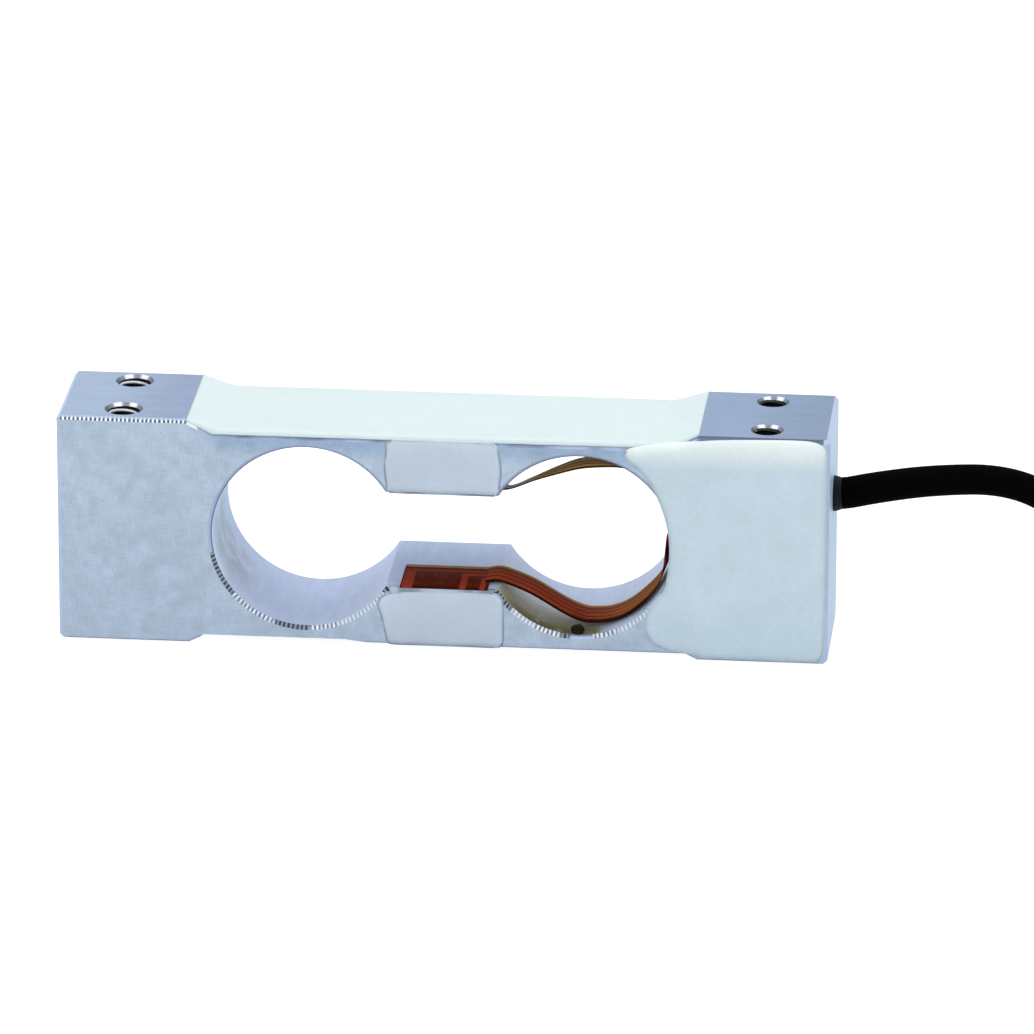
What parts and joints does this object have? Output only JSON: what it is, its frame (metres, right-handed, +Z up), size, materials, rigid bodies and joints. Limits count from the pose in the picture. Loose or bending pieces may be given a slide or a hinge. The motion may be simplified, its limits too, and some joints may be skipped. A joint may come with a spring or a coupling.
{
  "type": "single point load cell",
  "caption": "Binocular aluminium beam load cell with silicone-coated gauges, flex circuits in its bore, side potting and a round cable.",
  "frame": {"origin": "centre of the beam in plan, on the surface that its end blocks stand on", "axes": "+X along the beam towards the cable end, +Y towards the plain rear side, +Z up towards the tapped top faces"},
  "size_m": [0.2072, 0.0538, 0.0368],
  "materials": {
    "beam_aluminium": "fine milled, satin, with bright chatter on the edge breaks",
    "gauge_foil": "etched foil grid on amber backing",
    "film_polyimide": "semi-gloss brown polyimide",
    "trace_copper": "copper under a clear cover film",
    "board_green": "glass-epoxy board",
    "resistor_black": "chip resistor body",
    "solder_tin": "solder",
    "silicone_white": "translucent white silicone, satin",
    "jacket_black": "matt black PVC jacket",
    "core_red": "PVC insulation",
    "core_black": "PVC insulation",
    "core_green": "PVC insulation",
    "core_white": "PVC insulation",
    "tinned_copper": "tinned copper strands"
  },
  "bodies": {
    "root": {"beam_body": "beam_aluminium", "bottom_coat": "silicone_white", "cable_coil": "jacket_black", "cable_jacket": "jacket_black", "cable_seal": "silicone_white", "core_black": "core_black", "core_green": "core_green", "core_red": "core_red", "core_white": "core_white", "far_core_black": "core_black", "far_core_green": "core_green", "far_core_red": "core_red", "far_core_white": "core_white", "gauge_bottom_left": "gauge_foil", "gauge_bottom_right": "gauge_foil", "gauge_top_left": "gauge_foil", "gauge_top_right": "gauge_foil", "lower_flex_film": "film_polyimide", "lower_flex_traces": "trace_copper", "lower_side_pad": "silicone_white", "side_potting": "silicone_white", "solder_joints": "solder_tin", "terminal_board": "board_green", "tinned_tips": "tinned_copper", "top_coat": "silicone_white", "trim_resistors": "resistor_black", "upper_flex_film": "film_polyimide", "upper_flex_traces": "trace_copper", "upper_side_pad": "silicone_white"}
  },
  "joints": []
}
